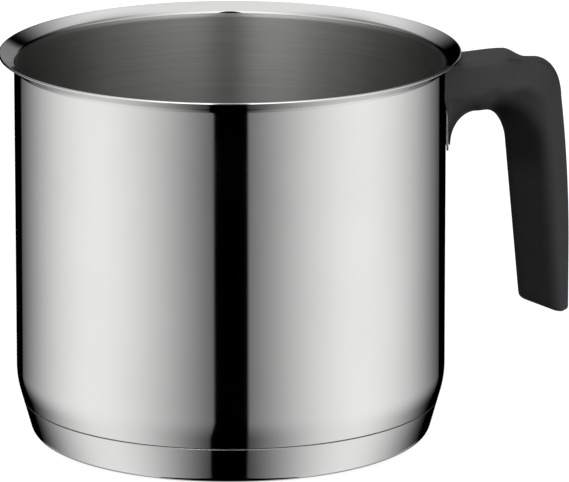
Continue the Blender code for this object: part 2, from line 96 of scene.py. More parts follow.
# Handle, in side view
RIM_OVER_ARM = 0.0027
THUMB_RISE = 0.0018
THUMB_REACH = 0.0187
THUMB_FALL = 0.0072
SPINE_DROP = 0.0017
HANDLE_REACH = 0.0406
HANDLE_DROP = 0.0850
END_SLOPE = 16.5
ROOT_DROP = 0.0118
ROOT_TIP_WALL = 0.0015
STAND_RISE = 0.0040
STAND_SLOPE = 0.0050
STAND_ROOM = 0.0001
ARM_THICKNESS = 0.0162
ARCH_START = 0.0102
ARCH_FLAT = 0.0025
ARCH_CORNER_REACH = 0.0057
ARCH_CORNER_DROP = 0.0108
GRIP_LEAN = 5.3
ELBOW_REACH = 0.0090
ELBOW_DROP = 0.0118
GRIP_STRAIGHT = 0.0214
GRIP_DRAW = 0.0029

# Handle, half widths, depth to its widest line, and edge rounding
ROOT_TIP_HALF = 0.0076
ARM_LOWER_HALF = 0.0088
FINGER_HALF = 0.0046
NARROW_SHARES = (0.0, 0.45)
ROOT_HALF = 0.0108
ARM_HALF = 0.0103
GRIP_HALF = 0.0094
ROOT_TOP_HALF = 0.0097
THUMB_HALF = 0.0092
SPINE_HALF = 0.0036
ARM_DEPTH = 0.0115
GRIP_DEPTH = 0.0066
END_DEPTH = 0.0025
BACK_EDGE = 0.0022
SIDE_ROUND = 0.0070
TIP_ROUND = 0.0028
ARCH_ROUND = 0.0044
FINGER_ROUND = 0.0034
END_ROUND = 0.0012
END_CORNER = 0.0019

# Fits between the handle and what it is fixed to
SEAT_GAP = 0.0003
SEEN_GAP = 0.00005
CUT_OVERRUN = 0.004
BRACKET_SHEET = 0.0006
PAD_ROOM = 0.0005
SOCKET_ROOM = 0.0004
WELL_ROOM = 0.0007

# Handle, painted shade at the arch's inner corner: the colour goes near black there and the clear coat
# is left off
HOLLOW_MIDDLE = 0.0885
HOLLOW_LEVEL = 0.0971
HOLLOW_RISE = 0.0170
HOLLOW_RIGHT = 0.0149
HOLLOW_LEFT = 0.0195
HOLLOW_LEAN_SHARE = 0.069
HOLLOW_LOW = 0.0860
HOLLOW_SOFT_SHARE = 0.20
HOLLOW_PAINTED_SHADE_SHARES = (0.7, 1.05)

# Polished steel. Each noise that is drawn out round the pot has its cells per radian, then per metre of
# radius and of height.
WHEEL_MARKS = (1.2, 900.0, 900.0)
WIPES = (2.0, 30.0, 22.0)
SHEET_WAVES = (6.0, 40.0, 10.0)
POLISH_CLEAR = (0.645, 0.645, 0.64)
POLISH_WIPED = (0.625, 0.625, 0.62)
WIPED_TINT_SHARES = (0.35, 0.7)
WIPED_BLUR_SHARES = (0.45, 0.75)
POLISH_ROUGHNESS = 0.035
WIPE_ROUGHNESS = 0.025
MARK_ROUGHNESS = 0.03
MARK_RELIEF_SHARE = 0.06
POLISH_RELIEF = 0.00001

# Satin steel, a little paler low down inside: painted light on the deep wall and floor
BRUSH_LINES = (2.5, 2600.0, 2600.0)
BRUSH_BANDS = (0.8, 120.0, 60.0)
BRUSH_STREAKS = (1.6, 1000.0, 1000.0)
STREAK_TINT_SHARES = (0.25, 0.75)
SATIN_DEEP = 0.096
SATIN_SHALLOW = 0.120
SATIN_UPPER_DARK = (0.245, 0.245, 0.24)
SATIN_UPPER_PALE = (0.285, 0.285, 0.28)
SATIN_PAINTED_LIGHT_DARK = (0.29, 0.29, 0.285)
SATIN_PAINTED_LIGHT_PALE = (0.33, 0.33, 0.325)
SATIN_ROUGHNESS = 0.30
LINE_ROUGHNESS = 0.12
BAND_ROUGHNESS = 0.06
SATIN_RELIEF = 0.00003
SATIN_RELIEF_SHARE = 0.8
BRUSH_PULL_SHARE = 0.8
BRUSH_DIRECTION_SHARE = 0.25

# Plain steel of the bracket and the fasteners
SHEET_GRAIN = 2400.0
SHEET_PATCHES = 260.0
SHEET_DARK = (0.50, 0.50, 0.49)
SHEET_PALE = (0.60, 0.60, 0.59)
SHEET_ROUGHNESS = 0.24
SHEET_GRAIN_ROUGHNESS = 0.14
SHEET_PATCH_ROUGHNESS = 0.06
SHEET_RELIEF = 0.00002
SHEET_RELIEF_SHARE = 0.6

# Aluminium of the core
CORE_RINGS = (0.6, 1500.0, 900.0)
CORE_DARK = (0.74, 0.74, 0.75)
CORE_PALE = (0.84, 0.84, 0.85)
CORE_ROUGHNESS = 0.38
RING_ROUGHNESS = 0.16
CORE_RELIEF = 0.00003
CORE_RELIEF_SHARE = 0.6

# Black plastic. The satin is a rough clear coat that thins from the arch to the grip.
MOULD_GRAIN = 3800.0
MOULD_MOTTLE = 420.0
MOULD_WEAR = 60.0
MOTTLE_TINT_SHARES = (0.3, 0.7)
PLASTIC_DARK = (0.0042, 0.0042, 0.0044)
PLASTIC_PALE = (0.0062, 0.0062, 0.0064)
# The near-black colour of the painted shade at the arch's inner corner
PLASTIC_PAINTED_SHADE = (0.0010, 0.0010, 0.0011)
PLASTIC_ROUGHNESS = 0.50
MOTTLE_ROUGHNESS = 0.08
WEAR_ROUGHNESS = 0.06
PLASTIC_IOR = 1.5
PLASTIC_GLINT_SHARE = 0.12
COAT_THINS = (0.086, 0.097)
COAT_LOSS_SHARE = 0.25
COAT_ROUGHNESS = 0.70
COAT_IOR = 1.52
PLASTIC_RELIEF = 0.00002
PLASTIC_RELIEF_SHARE = 0.5

# Facets
TURN_STEPS = 288
CORNER_STEPS = 16
EDGE_STEPS = 10
ROOT_RINGS = 30
ELBOW_RINGS = 70
GRIP_RINGS = 40
END_RINGS = 8
CUTTER_STEPS = 48
SHARP_EDGE = 30.0
HANDLE_SHARP_EDGE = 40.0
MERGE_DISTANCE = 1e-7

# Sizes that follow
WALL = POT_BORE_RADIUS + POT_SHEET
RIM_RADIUS = WALL + RIM_REACH
HANDLE_TOP = POT_HEIGHT - RIM_OVER_ARM
HANDLE_END = HANDLE_TOP - HANDLE_DROP
ARCH_HEIGHT = HANDLE_TOP - ARM_THICKNESS
ROOT_TIP = ARCH_HEIGHT - ROOT_DROP
GRIP_LOW = HANDLE_END + GRIP_STRAIGHT
JOGGLE = CAP_SHEET + SEAT_GAP
POT_UNDERSIDE = CAP_SHEET + SEAT_GAP + CORE_THICKNESS + SEAT_GAP

# Floor
FLOOR_RADIUS = 6.0
FLOOR_STEPS = 96
FLOOR_DROP = 0.0002
FLOOR_GLOW = 1.3
FLOOR_GLOW_SHARE = 0.6
FLOOR_CLOUDS = 3.0
FLOOR_DARK = (0.95, 0.95, 0.95)
FLOOR_PALE = (0.97, 0.97, 0.97)

# Studio. Angles are in degrees: a turn is 0 towards the camera and grows to the handle's side, and a
# climb is above the horizon. A pair of angles is where a soft edge starts and where it ends.
HORIZON = (-2.0, 8.0)
GAP_EDGE = 0.9

# Lights at the pan's sides, which show on its upright faces
SIDE_LIGHT = 1.54
SIDE_TURN = 75.5
SIDE_SPREAD = 1.97
SIDE_SHIFT = 1.0
FRONT_GAP_TURN = 0.3
FRONT_GAP_HALF = 9.0
BACK_GAP_START = 150.0

# The same lights near the floor, which show on the shoulder, the skirt and the cap
LOW_LEAN = (2.0, 18.0)
LOW_TURN = 5.5
LOW_SPREAD = 0.53
LOW_GAP_SHIFT = 1.3
LOW_BACK_GAP = 11.0
LOW_LOSS_SHARE = 0.08

# The wider gap that shows on the steepest faces, at the cap's lower edge and under the rim
STEEP_LEAN = (31.0, 49.0)
STEEP_GAP = 32.0

# Light of the floor behind the pan
ASTERN_LIGHT = 0.55
ASTERN_TURN = (149.0, 155.0)
ASTERN_START = (-60.0, -48.0)
ASTERN_END = (-31.0, -24.0)

# Panel above the camera, and a strip in it
PANEL_LIGHT = 2.7
PANEL_SPREAD = 1.385
PANEL_TOP = (38.0, 58.0)
STRIP_LIGHT = 2.3
STRIP_TURN = -23.3
STRIP_HALF = 16.5
STRIP_FOOT = (11.0, 12.0)
STRIP_TOP = (23.0, 24.0)

# Light from above, lower on the left, weaker beside the pan and stronger in front of it
TOP_LIGHT = 1.38
TOP_FOOT = (22.0, 54.0)
TOP_LEFT_DROP = (8.0, 6.0)
LEFT_EDGE = 20.0
BESIDE_START = (25.0, 115.0)
BESIDE_END = (136.0, 152.0)
BESIDE_TOP = (50.0, 80.0)
BESIDE_LOSS_SHARE = 0.7
TOP_GAP_END = (80.0, 86.0)
CROWN_TURN = (40.0, 80.0)
CROWN_CLIMB = (55.0, 65.0)
CROWN_GAIN_SHARE = 0.35

# Weak light on the horizon behind the pan, and a fill at the camera
CORNER_LIGHT = 0.33
CORNER_TURN = 170.0
CORNER_HALF = 14.0
CORNER_EDGE = 6.0
CORNER_FOOT = (-9.0, -3.0)
CORNER_TOP = (15.0, 21.0)
FILL_LIGHT = 1.0
FILL_TURN = (25.0, 60.0)
FILL_FOOT = (-8.0, -4.0)
FILL_TOP = (8.0, 18.0)


class Value:
    """A shader socket that takes part in sums and adds the Math nodes for them."""

    def __init__(self, nodes, socket):
        self.nodes = nodes
        self.socket = socket

    def math(self, operation, *others):
        inputs = dict(enumerate((self,) + others))
        return self.nodes.add("Math", {"operation": operation}, inputs)

    def __add__(self, other):
        return self.math("ADD", other)

    def __sub__(self, other):
        return self.math("SUBTRACT", other)

    def __mul__(self, other):
        return self.math("MULTIPLY", other)

    def __rsub__(self, other):
        return self.nodes.add("Math", {"operation": "SUBTRACT"}, {0: other, 1: self})

    def __abs__(self):
        return self.math("ABSOLUTE")

    __radd__ = __add__
    __rmul__ = __mul__

    def rise(self, low, high):
        """0 below low, 1 above high and a smooth step between."""
        inputs = {"Value": self, "From Min": low, "From Max": high}
        return self.nodes.add("MapRange", {"interpolation_type": "SMOOTHSTEP"}, inputs)

    def drop(self, low, high):
        """1 below low, 0 above high and a smooth step between."""
        return 1.0 - self.rise(low, high)

    def past(self, edge, soft):
        """0 short of an edge, 1 past it and a smooth step across it, soft to each side."""
        return self.rise(edge - soft, edge + soft)


class Nodes:
    """A node tree that is filled one node at a time."""

    def __init__(self, tree):
        self.tree = tree
        tree.nodes.clear()

    def add(self, kind, settings=None, inputs=None, output=0):
        """One node: its settings first, then the values or links of its sockets."""
        node = self.tree.nodes.new("ShaderNode" + kind)
        for name, value in (settings or {}).items():
            setattr(node, name, value)
        for name, value in (inputs or {}).items():
            if isinstance(value, Value):
                self.tree.links.new(value.socket, node.inputs[name])
            else:
                node.inputs[name].default_value = value
        return Value(self, node.outputs[output]) if node.outputs else None

    def parts(self, vector):
        """The three numbers of a vector."""
        split = self.add("SeparateXYZ", None, {0: vector}).socket.node
        return [Value(self, socket) for socket in split.outputs]

    def vector(self, x, y, z):
        return self.add("CombineXYZ", None, {"X": x, "Y": y, "Z": z})

    def noise(self, vector, scale, detail=2.0, roughness=0.5):
        inputs = {"Vector": vector, "Scale": scale, "Detail": detail, "Roughness": roughness}
        return self.add("TexNoise", None, inputs)

    def ring_noise(self, place, cells, detail, roughness):
        """Noise drawn out round the pot: its cells are counted along round_the_axis."""
        stretched = self.vector(*(value * count for value, count in zip(place, cells)))
        return self.noise(stretched, 1.0, detail, roughness)

    def colours(self, share, first, second):
        """A colour between two, by a share."""
        ends = [end if isinstance(end, Value) else (*end, 1.0) for end in (first, second)]
        return self.add("Mix", {"data_type": "RGBA"}, {0: share, 6: ends[0], 7: ends[1]}, 2)

    def bump(self, height, distance, strength=1.0):
        return self.add("Bump", None, {"Height": height, "Distance": distance, "Strength": strength})

    def finish(self, surface):
        self.add("OutputMaterial", None, {"Surface": surface})


def material(name):
    made = bpy.data.materials.new(name)
    made.use_nodes = True
    return made, Nodes(made.node_tree)


def round_the_axis(nodes):
    """Where a point is round the pot: its turn in radians, its distance from the axis and its height."""
    x, y, z = nodes.parts(nodes.add("TexCoord", None, None, "Object"))
    return y.math("ARCTAN2", x), (x * x + y * y).math("SQRT"), z


# Finishes


def polished_steel():
    """Mirror polish with faint wheel marks that run round the pot, and a few cloudy wipes."""
    made, nodes = material("polished_steel")
    place = round_the_axis(nodes)
    marks = nodes.ring_noise(place, WHEEL_MARKS, detail=3.0, roughness=0.6)
    wipes = nodes.ring_noise(place, WIPES, detail=3.0, roughness=0.55)
    waves = nodes.ring_noise(place, SHEET_WAVES, detail=1.0, roughness=0.4)
    blur = wipes.rise(*WIPED_BLUR_SHARES) * WIPE_ROUGHNESS
    nodes.finish(nodes.add("BsdfPrincipled", None, {
        "Base Color": nodes.colours(wipes.rise(*WIPED_TINT_SHARES), POLISH_CLEAR, POLISH_WIPED),
        "Metallic": 1.0,
        "Roughness": POLISH_ROUGHNESS + blur + marks * MARK_ROUGHNESS,
        "Normal": nodes.bump(marks * MARK_RELIEF_SHARE + waves, POLISH_RELIEF),
    }))
    return made


def satin_steel():
    """The brushed inside: fine lines round the wall and rings on the floor, with faint streaks, and
    paler low down, which is painted light.
    """
    made, nodes = material("satin_steel")
    place = round_the_axis(nodes)
    lines = nodes.ring_noise(place, BRUSH_LINES, detail=3.0, roughness=0.7)
    bands = nodes.ring_noise(place, BRUSH_BANDS, detail=2.0, roughness=0.5)
    streaks = nodes.ring_noise(place, BRUSH_STREAKS, detail=3.0, roughness=0.6).rise(*STREAK_TINT_SHARES)
    # Painted light: the colour grows paler from SATIN_SHALLOW down to SATIN_DEEP, as if more light
    # reached deep inside.
    upper = nodes.colours(streaks, SATIN_UPPER_DARK, SATIN_UPPER_PALE)
    lower = nodes.colours(streaks, SATIN_PAINTED_LIGHT_DARK, SATIN_PAINTED_LIGHT_PALE)
    height = place[2]
    nodes.finish(nodes.add("BsdfPrincipled", None, {
        "Base Color": nodes.colours(height.drop(SATIN_DEEP, SATIN_SHALLOW), upper, lower),
        "Metallic": 1.0,
        "Roughness": SATIN_ROUGHNESS + lines * LINE_ROUGHNESS + bands * BAND_ROUGHNESS,
        "Normal": nodes.bump(lines, SATIN_RELIEF, SATIN_RELIEF_SHARE),
        "Anisotropic": BRUSH_PULL_SHARE,
        "Anisotropic Rotation": BRUSH_DIRECTION_SHARE,
    }))
    return made


def plain_steel():
    """Rolled sheet and turned fasteners: even, slightly grainy."""
    made, nodes = material("plain_steel")
    where = nodes.add("TexCoord", None, None, "Object")
    grain = nodes.noise(where, SHEET_GRAIN, detail=3.0, roughness=0.6)
    patches = nodes.noise(where, SHEET_PATCHES, detail=2.0, roughness=0.5)
    nodes.finish(nodes.add("BsdfPrincipled", None, {
        "Base Color": nodes.colours(patches, SHEET_DARK, SHEET_PALE),
        "Metallic": 1.0,
        "Roughness": SHEET_ROUGHNESS + grain * SHEET_GRAIN_ROUGHNESS + patches * SHEET_PATCH_ROUGHNESS,
        "Normal": nodes.bump(grain, SHEET_RELIEF, SHEET_RELIEF_SHARE),
    }))
    return made


def core_aluminium():
    """Turned aluminium with fine rings."""
    made, nodes = material("core_aluminium")
    rings = nodes.ring_noise(round_the_axis(nodes), CORE_RINGS, detail=2.0, roughness=0.6)
    nodes.finish(nodes.add("BsdfPrincipled", None, {
        "Base Color": nodes.colours(rings, CORE_DARK, CORE_PALE),
        "Metallic": 1.0,
        "Roughness": CORE_ROUGHNESS + rings * RING_ROUGHNESS,
        "Normal": nodes.bump(rings, CORE_RELIEF, CORE_RELIEF_SHARE),
    }))
    return made


def black_plastic():
    """Black moulding with a fine even grain: satin show faces, and painted shade at the arch's inner
    corner, near black and without the coat.
    """
    made, nodes = material("black_plastic")
    where = nodes.add("TexCoord", None, None, "Object")
    grain = nodes.noise(where, MOULD_GRAIN, detail=2.0, roughness=0.6)
    mottle = nodes.noise(where, MOULD_MOTTLE, detail=3.0, roughness=0.6)
    wear = nodes.noise(where, MOULD_WEAR, detail=2.0, roughness=0.5)
    x, _, z = nodes.parts(where)
    # Painted shade: a mask round the arch's inner corner turns the colour near black and leaves the coat
    # off there.
    below = (HOLLOW_LEVEL - z).math("MAXIMUM", 0.0)
    above = (z - HOLLOW_LEVEL).math("MAXIMUM", 0.0) * (1.0 / HOLLOW_RISE)
    off = x - HOLLOW_MIDDLE - below * HOLLOW_LEAN_SHARE
    right = off.math("MAXIMUM", 0.0) * (1.0 / HOLLOW_RIGHT)
    left = (0.0 - off).math("MAXIMUM", 0.0) * (1.0 / HOLLOW_LEFT)
    upper = z.rise(HOLLOW_LOW, HOLLOW_LEVEL)
    reach = (right * right + left * left * upper + above * above).math("SQRT")
    coat = reach.past(1.0, HOLLOW_SOFT_SHARE) * (1.0 - x.rise(*COAT_THINS) * COAT_LOSS_SHARE)
    plain = nodes.colours(mottle.rise(*MOTTLE_TINT_SHARES), PLASTIC_DARK, PLASTIC_PALE)
    nodes.finish(nodes.add("BsdfPrincipled", None, {
        "Base Color": nodes.colours(reach.drop(*HOLLOW_PAINTED_SHADE_SHARES) * upper, plain, PLASTIC_PAINTED_SHADE),
        "Roughness": PLASTIC_ROUGHNESS + mottle * MOTTLE_ROUGHNESS + wear * WEAR_ROUGHNESS,
        "IOR": PLASTIC_IOR,
        "Specular IOR Level": PLASTIC_GLINT_SHARE,
        "Coat Weight": coat,
        "Coat Roughness": COAT_ROUGHNESS,
        "Coat IOR": COAT_IOR,
        "Normal": nodes.bump(grain, PLASTIC_RELIEF, PLASTIC_RELIEF_SHARE),
    }))
    return made


# Shapes


def mix(a, b, share):
    return a + (b - a) * share


def ease(share):
    share = min(max(share, 0.0), 1.0)
    return share * share * (3.0 - 2.0 * share)


def arc(centre, radius, start, end, steps):
    """Points in the XZ plane round a centre. Angles run from +X towards +Z."""
    points = []
    for i in range(steps + 1):
        angle = math.radians(mix(start, end, i / steps))
        points.append((centre[0] + radius * math.cos(angle), centre[1] + radius * math.sin(angle)))
    return points


def piece(name, bm, finishes, sharp=SHARP_EDGE):
    """A named mesh with its faces turned outwards, smooth but for its real edges."""
    bmesh.ops.remove_doubles(bm, verts=bm.verts, dist=MERGE_DISTANCE)
    bmesh.ops.recalc_face_normals(bm, faces=bm.faces)
    mesh = bpy.data.meshes.new(name)
    bm.to_mesh(mesh)
    bm.free()
    mesh.shade_smooth()
    mesh.set_sharp_from_angle(angle=math.radians(sharp))
    for finish in finishes:
        mesh.materials.append(finish)
    made = bpy.data.objects.new(name, mesh)
    bpy.context.scene.collection.objects.link(made)
    return made


def turned(profile):
    """A profile of (radius, height) points spun round the Z axis."""
    bm = bmesh.new()
    row = [bm.verts.new((x, 0.0, z)) for x, z in profile]
    edges = [bm.edges.new(pair) for pair in zip(row, row[1:])]
    if profile[0][0] > 0.0:
        edges.append(bm.edges.new((row[-1], row[0])))
    bmesh.ops.spin(
        bm, geom=edges, cent=(0.0, 0.0, 0.0), axis=(0.0, 0.0, 1.0),
        angle=math.tau, steps=TURN_STEPS, use_merge=True,
    )
    return bm


def lofted(rings):
    """A closed skin through rings of points, capped at both ends."""
    bm = bmesh.new()
    rows = [[bm.verts.new(point) for point in ring] for ring in rings]
    for row, after in zip(rows, rows[1:]):
        for i in range(len(row)):
            j = (i + 1) % len(row)
            bm.faces.new((row[i], row[j], after[j], after[i]))
    bm.faces.new(rows[0])
    bm.faces.new(rows[-1])
    return bm


def skirt_radius(height, inset):
    """Radius of the leaning skirt at a height, on a line moved inwards by inset."""
    lean = math.radians(SKIRT_LEAN)
    start = WALL - SHOULDER_RADIUS * (1.0 - math.cos(lean))
    drop = SHOULDER_HEIGHT - SHOULDER_RADIUS * math.sin(lean) - height
    return start - drop * math.tan(lean) - inset / math.cos(lean)


def corner(inset, floor, radius, shrink=0.0):
    """The bend from the skirt to a level floor, or one moved in from it by shrink."""
    centre = (skirt_radius(floor + radius, inset + radius), floor + radius)
    return arc(centre, radius - shrink, -SKIRT_LEAN, -90.0, CORNER_STEPS)


def shoulder(inset):
    """The bend from the upright wall to the skirt, on a line moved inwards by inset."""
    centre = (WALL - SHOULDER_RADIUS, SHOULDER_HEIGHT)
    return arc(centre, SHOULDER_RADIUS - inset, 0.0, -SKIRT_LEAN, CORNER_STEPS)


def rim_frame():
    """Centre of the rim's bend and centre of its rounded lip."""
    lean = math.radians(RIM_FLARE)
    middle = RIM_BEND + POT_SHEET / 2.0
    bend_x = WALL + RIM_BEND
    run = (RIM_RADIUS - POT_SHEET / 2.0 - bend_x + middle * math.cos(lean)) / math.sin(lean)
    rise = middle * math.sin(lean) + run * math.cos(lean)
    bend = (bend_x, POT_HEIGHT - POT_SHEET / 2.0 - rise)
    return bend, (RIM_RADIUS - POT_SHEET / 2.0, POT_HEIGHT - POT_SHEET / 2.0)


def make_pot(polished, satin):
    """The drawn pot, satin inside and where the cap covers it; the darker satin under the cap is painted
    shade in the seam.
    """
    bend, lip = rim_frame()
    inner_corner = corner(JOGGLE, POT_UNDERSIDE, POT_CORNER, POT_SHEET)[::-1]
    inner_shoulder = shoulder(POT_SHEET)[::-1]
    low, high = inner_corner[-1][1], inner_shoulder[0][1]
    joggle = []
    for share in JOGGLE_SHARES:
        height = mix(low, high, share)
        joggle.append((skirt_radius(height, POT_SHEET + JOGGLE * (1.0 - ease(share))), height))
    inside = [(0.0, POT_UNDERSIDE + POT_SHEET)] + inner_corner + joggle + inner_shoulder
    rim = arc(bend, RIM_BEND + POT_SHEET, 180.0, 180.0 - RIM_FLARE, CORNER_STEPS)
    rim += arc(lip, POT_SHEET / 2.0, 180.0 - RIM_FLARE, -RIM_FLARE, CORNER_STEPS)
    rim += arc(bend, RIM_BEND, 180.0 - RIM_FLARE, 180.0, CORNER_STEPS)
    ledge = SEAM_HEIGHT + SEAT_GAP
    outside = shoulder(0.0) + [(skirt_radius(ledge, 0.0), ledge), (skirt_radius(ledge, JOGGLE), ledge)]
    outside += corner(JOGGLE, POT_UNDERSIDE, POT_CORNER) + [(0.0, POT_UNDERSIDE)]
    pot = piece("pot_body_polished", turned(inside + rim + outside), [polished, satin])
    satin_top = bend[1] + (RIM_BEND + POT_SHEET) * math.sin(math.radians(SATIN_TURN))
    for face in pot.data.polygons:
        middle, up = face.center, face.normal.z
        outwards = face.normal.x * middle.x + face.normal.y * middle.y
        pot_floor = up > LEVEL_NORMAL and middle.z < SHOULDER_HEIGHT
        brushed = (outwards < 0.0 or pot_floor) and middle.z < satin_top and up > -LEVEL_NORMAL
        # Steel hidden under the cap gets the plainer satin finish, and its darker colour is painted
        # shade that darkens the seam.
        under_cap = outwards > 0.0 and middle.z < ledge + LEDGE_MARGIN
        if brushed or under_cap:
            face.material_index = 1
    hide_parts("pot_body")
    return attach(pot, "root")


def make_cap(polished, satin):
    """The tray round the base. Its cut edge is satin."""
    inside = [(0.0, CAP_SHEET)] + corner(CAP_SHEET, CAP_SHEET, CAP_CORNER - CAP_SHEET)[::-1]
    round_height = SEAM_HEIGHT - CAP_EDGE_ROUND
    edge_centre = (skirt_radius(round_height, CAP_EDGE_ROUND), round_height)
    edge = [(skirt_radius(SEAM_HEIGHT, CAP_SHEET), SEAM_HEIGHT)]
    edge += arc(edge_centre, CAP_EDGE_ROUND, 90.0, -SKIRT_LEAN, EDGE_STEPS)
    outside = corner(0.0, 0.0, CAP_CORNER) + [(0.0, 0.0)]
    cap = piece("base_cap_polished", turned(inside + edge + outside), [polished, satin])
    for face in cap.data.polygons:
        if face.center.z > round_height:
            face.material_index = 1
    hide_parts("base_cap")
    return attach(cap, "root")


# Handle


def rounded_turn(start, corner_point, end, steps):
    """A quarter of an ellipse that leaves start and reaches end along the lines to the corner."""
    points = []
    for i in range(steps + 1):
        angle = math.pi / 2.0 * i / steps
        a, b = 1.0 - math.sin(angle), 1.0 - math.cos(angle)
        points.append(corner_point + (start - corner_point) * a + (end - corner_point) * b)
    return points


def spaced(path, count):
    """Points at even distances along a path, both ends kept."""
    lengths = [0.0]
    for a, b in zip(path, path[1:]):
        lengths.append(lengths[-1] + (b - a).length)
    found, i = [], 0
    for k in range(count):
        target = lengths[-1] * k / (count - 1)
        while i < len(path) - 2 and lengths[i + 1] < target:
            i += 1
        span = lengths[i + 1] - lengths[i]
        found.append(path[i].lerp(path[i + 1], (target - lengths[i]) / span))
    return found


def past_thumb(x):
    """How far a place on the X axis is down the slope behind the thumb rest, from 0 to 1."""
    return ease((x - WALL - THUMB_REACH) / THUMB_FALL)


def arm_top(x):
    """Height of the arm's top: it climbs a little to the thumb rest and falls behind it."""
    return HANDLE_TOP + THUMB_RISE * ease((x - WALL) / THUMB_REACH) - SPINE_DROP * past_thumb(x)


def grip_back(z):
    """Where the grip's back stands at a height: straight below, leaning in towards the elbow."""
    top = HANDLE_TOP - ELBOW_DROP
    share = max(z - GRIP_LOW, 0.0) / (top - GRIP_LOW)
    return WALL + HANDLE_REACH - GRIP_DRAW * share * share


def side_view():
    """Pairs of (finger side, back) points in the XZ plane, from the root round to the grip's end."""
    arch = Vector((WALL + ARCH_START, ARCH_HEIGHT))
    tip = Vector((WALL + ROOT_TIP_WALL, ROOT_TIP))
    root = rounded_turn(tip, Vector((tip.x, arch.y)), arch, ROOT_RINGS - 1)
    pairs = [(point, Vector((point.x, arm_top(point.x)))) for point in root]
    pairs.insert(0, (Vector((WALL - CUT_OVERRUN, tip.y)), Vector((WALL - CUT_OVERRUN, HANDLE_TOP))))

    lean = math.tan(math.radians(GRIP_LEAN))
    turn = arch + Vector((ARCH_FLAT, 0.0))
    under = Vector((turn.x + ARCH_CORNER_REACH, turn.y))
    finger_top = under + Vector((lean * ARCH_CORNER_DROP, -ARCH_CORNER_DROP))
    inner = [arch] + rounded_turn(turn, under, finger_top, ELBOW_RINGS)

    back_top = HANDLE_TOP - ELBOW_DROP
    back = Vector((grip_back(back_top), back_top))
    elbow = Vector((back.x - ELBOW_REACH, arm_top(back.x - ELBOW_REACH)))
    steps = [mix(arch.x, elbow.x, i / ELBOW_RINGS) for i in range(ELBOW_RINGS)]
    outer = [Vector((x, arm_top(x))) for x in steps]
    outer += rounded_turn(elbow, Vector((back.x, elbow.y)), back, ELBOW_RINGS)
    pairs += list(zip(spaced(inner, ELBOW_RINGS), spaced(outer, ELBOW_RINGS)))[1:]

    end_back = Vector((grip_back(HANDLE_END), HANDLE_END))
    slope = math.tan(math.radians(END_SLOPE))
    rise = (end_back.x - finger_top.x) * slope
    drop = (finger_top.y - HANDLE_END - rise) / (1.0 - lean * slope)
    end_finger = finger_top + Vector((lean * drop, -drop))
    for i in range(1, GRIP_RINGS + 1):
        share = i / GRIP_RINGS
        z = mix(back.y, end_back.y, share)
        pairs.append((finger_top.lerp(end_finger, share), Vector((grip_back(z), z))))
    return pairs


def filleted(corners, rounds):
    """A closed outline with an arc at each corner. An arc is held to a share of its two sides."""
    most_share = 0.48
    outline = []
    for i, here in enumerate(corners):
        to_last = corners[i - 1] - here
        to_next = corners[(i + 1) % len(corners)] - here
        half = to_last.angle(to_next) / 2.0
        reach = min(rounds[i] / math.tan(half), most_share * to_last.length, most_share * to_next.length)
        start = here + to_last.normalized() * reach
        end = here + to_next.normalized() * reach
        for k in range(EDGE_STEPS + 1):
            a, b = 1.0 - k / EDGE_STEPS, k / EDGE_STEPS
            pull = 2.0 * a * b * math.sin(half)
            outline.append((start * a * a + here * pull + end * b * b) / (a * a + pull + b * b))
    return outline


def section(finger, back, halves, depth, rounds, hug, inset=0.0):
    """One ring of the handle, from its finger side to its back, bent round the pot by the share hug."""
    rise = back - finger
    length = rise.length
    rise.normalize()
    low, wide, high = (half - inset for half in halves)
    side = [Vector((low, inset)), Vector((wide, length - depth)), Vector((high, length - inset))]
    corners = side + [Vector((-corner.x, corner.y)) for corner in reversed(side)]
    least = END_ROUND / EDGE_STEPS
    held = [max(radius - inset, least) for radius in rounds]
    ring = []
    for across, along in filleted(corners, held + held[::-1]):
        point = finger + rise * along
        bend = (WALL - math.sqrt(WALL * WALL - across * across)) * hug
        ring.append((point.x - bend, across, point.y))
    return ring


def handle_rings():
    """The handle's sections, from inside the pot's wall round to the grip's rounded end."""
    sections = []
    for i, (finger, back) in enumerate(side_view()):
        root = min((finger.x - WALL - ROOT_TIP_WALL) / (ARCH_START - ROOT_TIP_WALL), 1.0)
        along = (i - ROOT_RINGS) / (ELBOW_RINGS - 1)
        turn = ease(along)
        narrow = ease((along - NARROW_SHARES[0]) / (NARROW_SHARES[1] - NARROW_SHARES[0]))
        down = max(i - ROOT_RINGS - ELBOW_RINGS + 1, 0) / GRIP_RINGS
        low = mix(mix(ROOT_TIP_HALF, ARM_LOWER_HALF, root), FINGER_HALF, narrow)
        low_round = mix(mix(TIP_ROUND, ARCH_ROUND, root), FINGER_ROUND, turn)
        wide = mix(mix(ROOT_HALF, ARM_HALF, root), GRIP_HALF, turn)
        thumb = mix(ROOT_TOP_HALF, THUMB_HALF, min((back.x - WALL) / THUMB_REACH, 1.0))
        high = mix(thumb, SPINE_HALF, past_thumb(back.x))
        depth = mix(mix(ARM_DEPTH, GRIP_DEPTH, turn), END_DEPTH, down)
        rounds = (low_round, SIDE_ROUND, BACK_EDGE)
        sections.append((finger, back, (low, wide, high), depth, rounds, 1.0 - root))
    finger, back, halves, depth, rounds, hug = sections.pop()
    up_finger = (sections[-1][0] - finger).normalized()
    up_back = (sections[-1][1] - back).normalized()
    inwards = (finger - back).normalized()
    rings = [section(*each) for each in sections if each[1].y > back.y + END_CORNER]
    for k in range(END_RINGS + 1):
        angle = math.pi / 2.0 * k / END_RINGS
        up, across = 1.0 - math.sin(angle), 1.0 - math.cos(angle)
        end_finger = finger + up_finger * END_ROUND * up
        end_back = back + up_back * END_CORNER * up + inwards * (END_CORNER - END_ROUND) * across
        rings.append(section(end_finger, end_back, halves, depth, rounds, hug, END_ROUND * across))
    return rings


def cutter(name, bm):
    """A hidden shape that is cut out of the handle."""
    made = piece(name, bm, [])
    made.hide_render = True
    return made


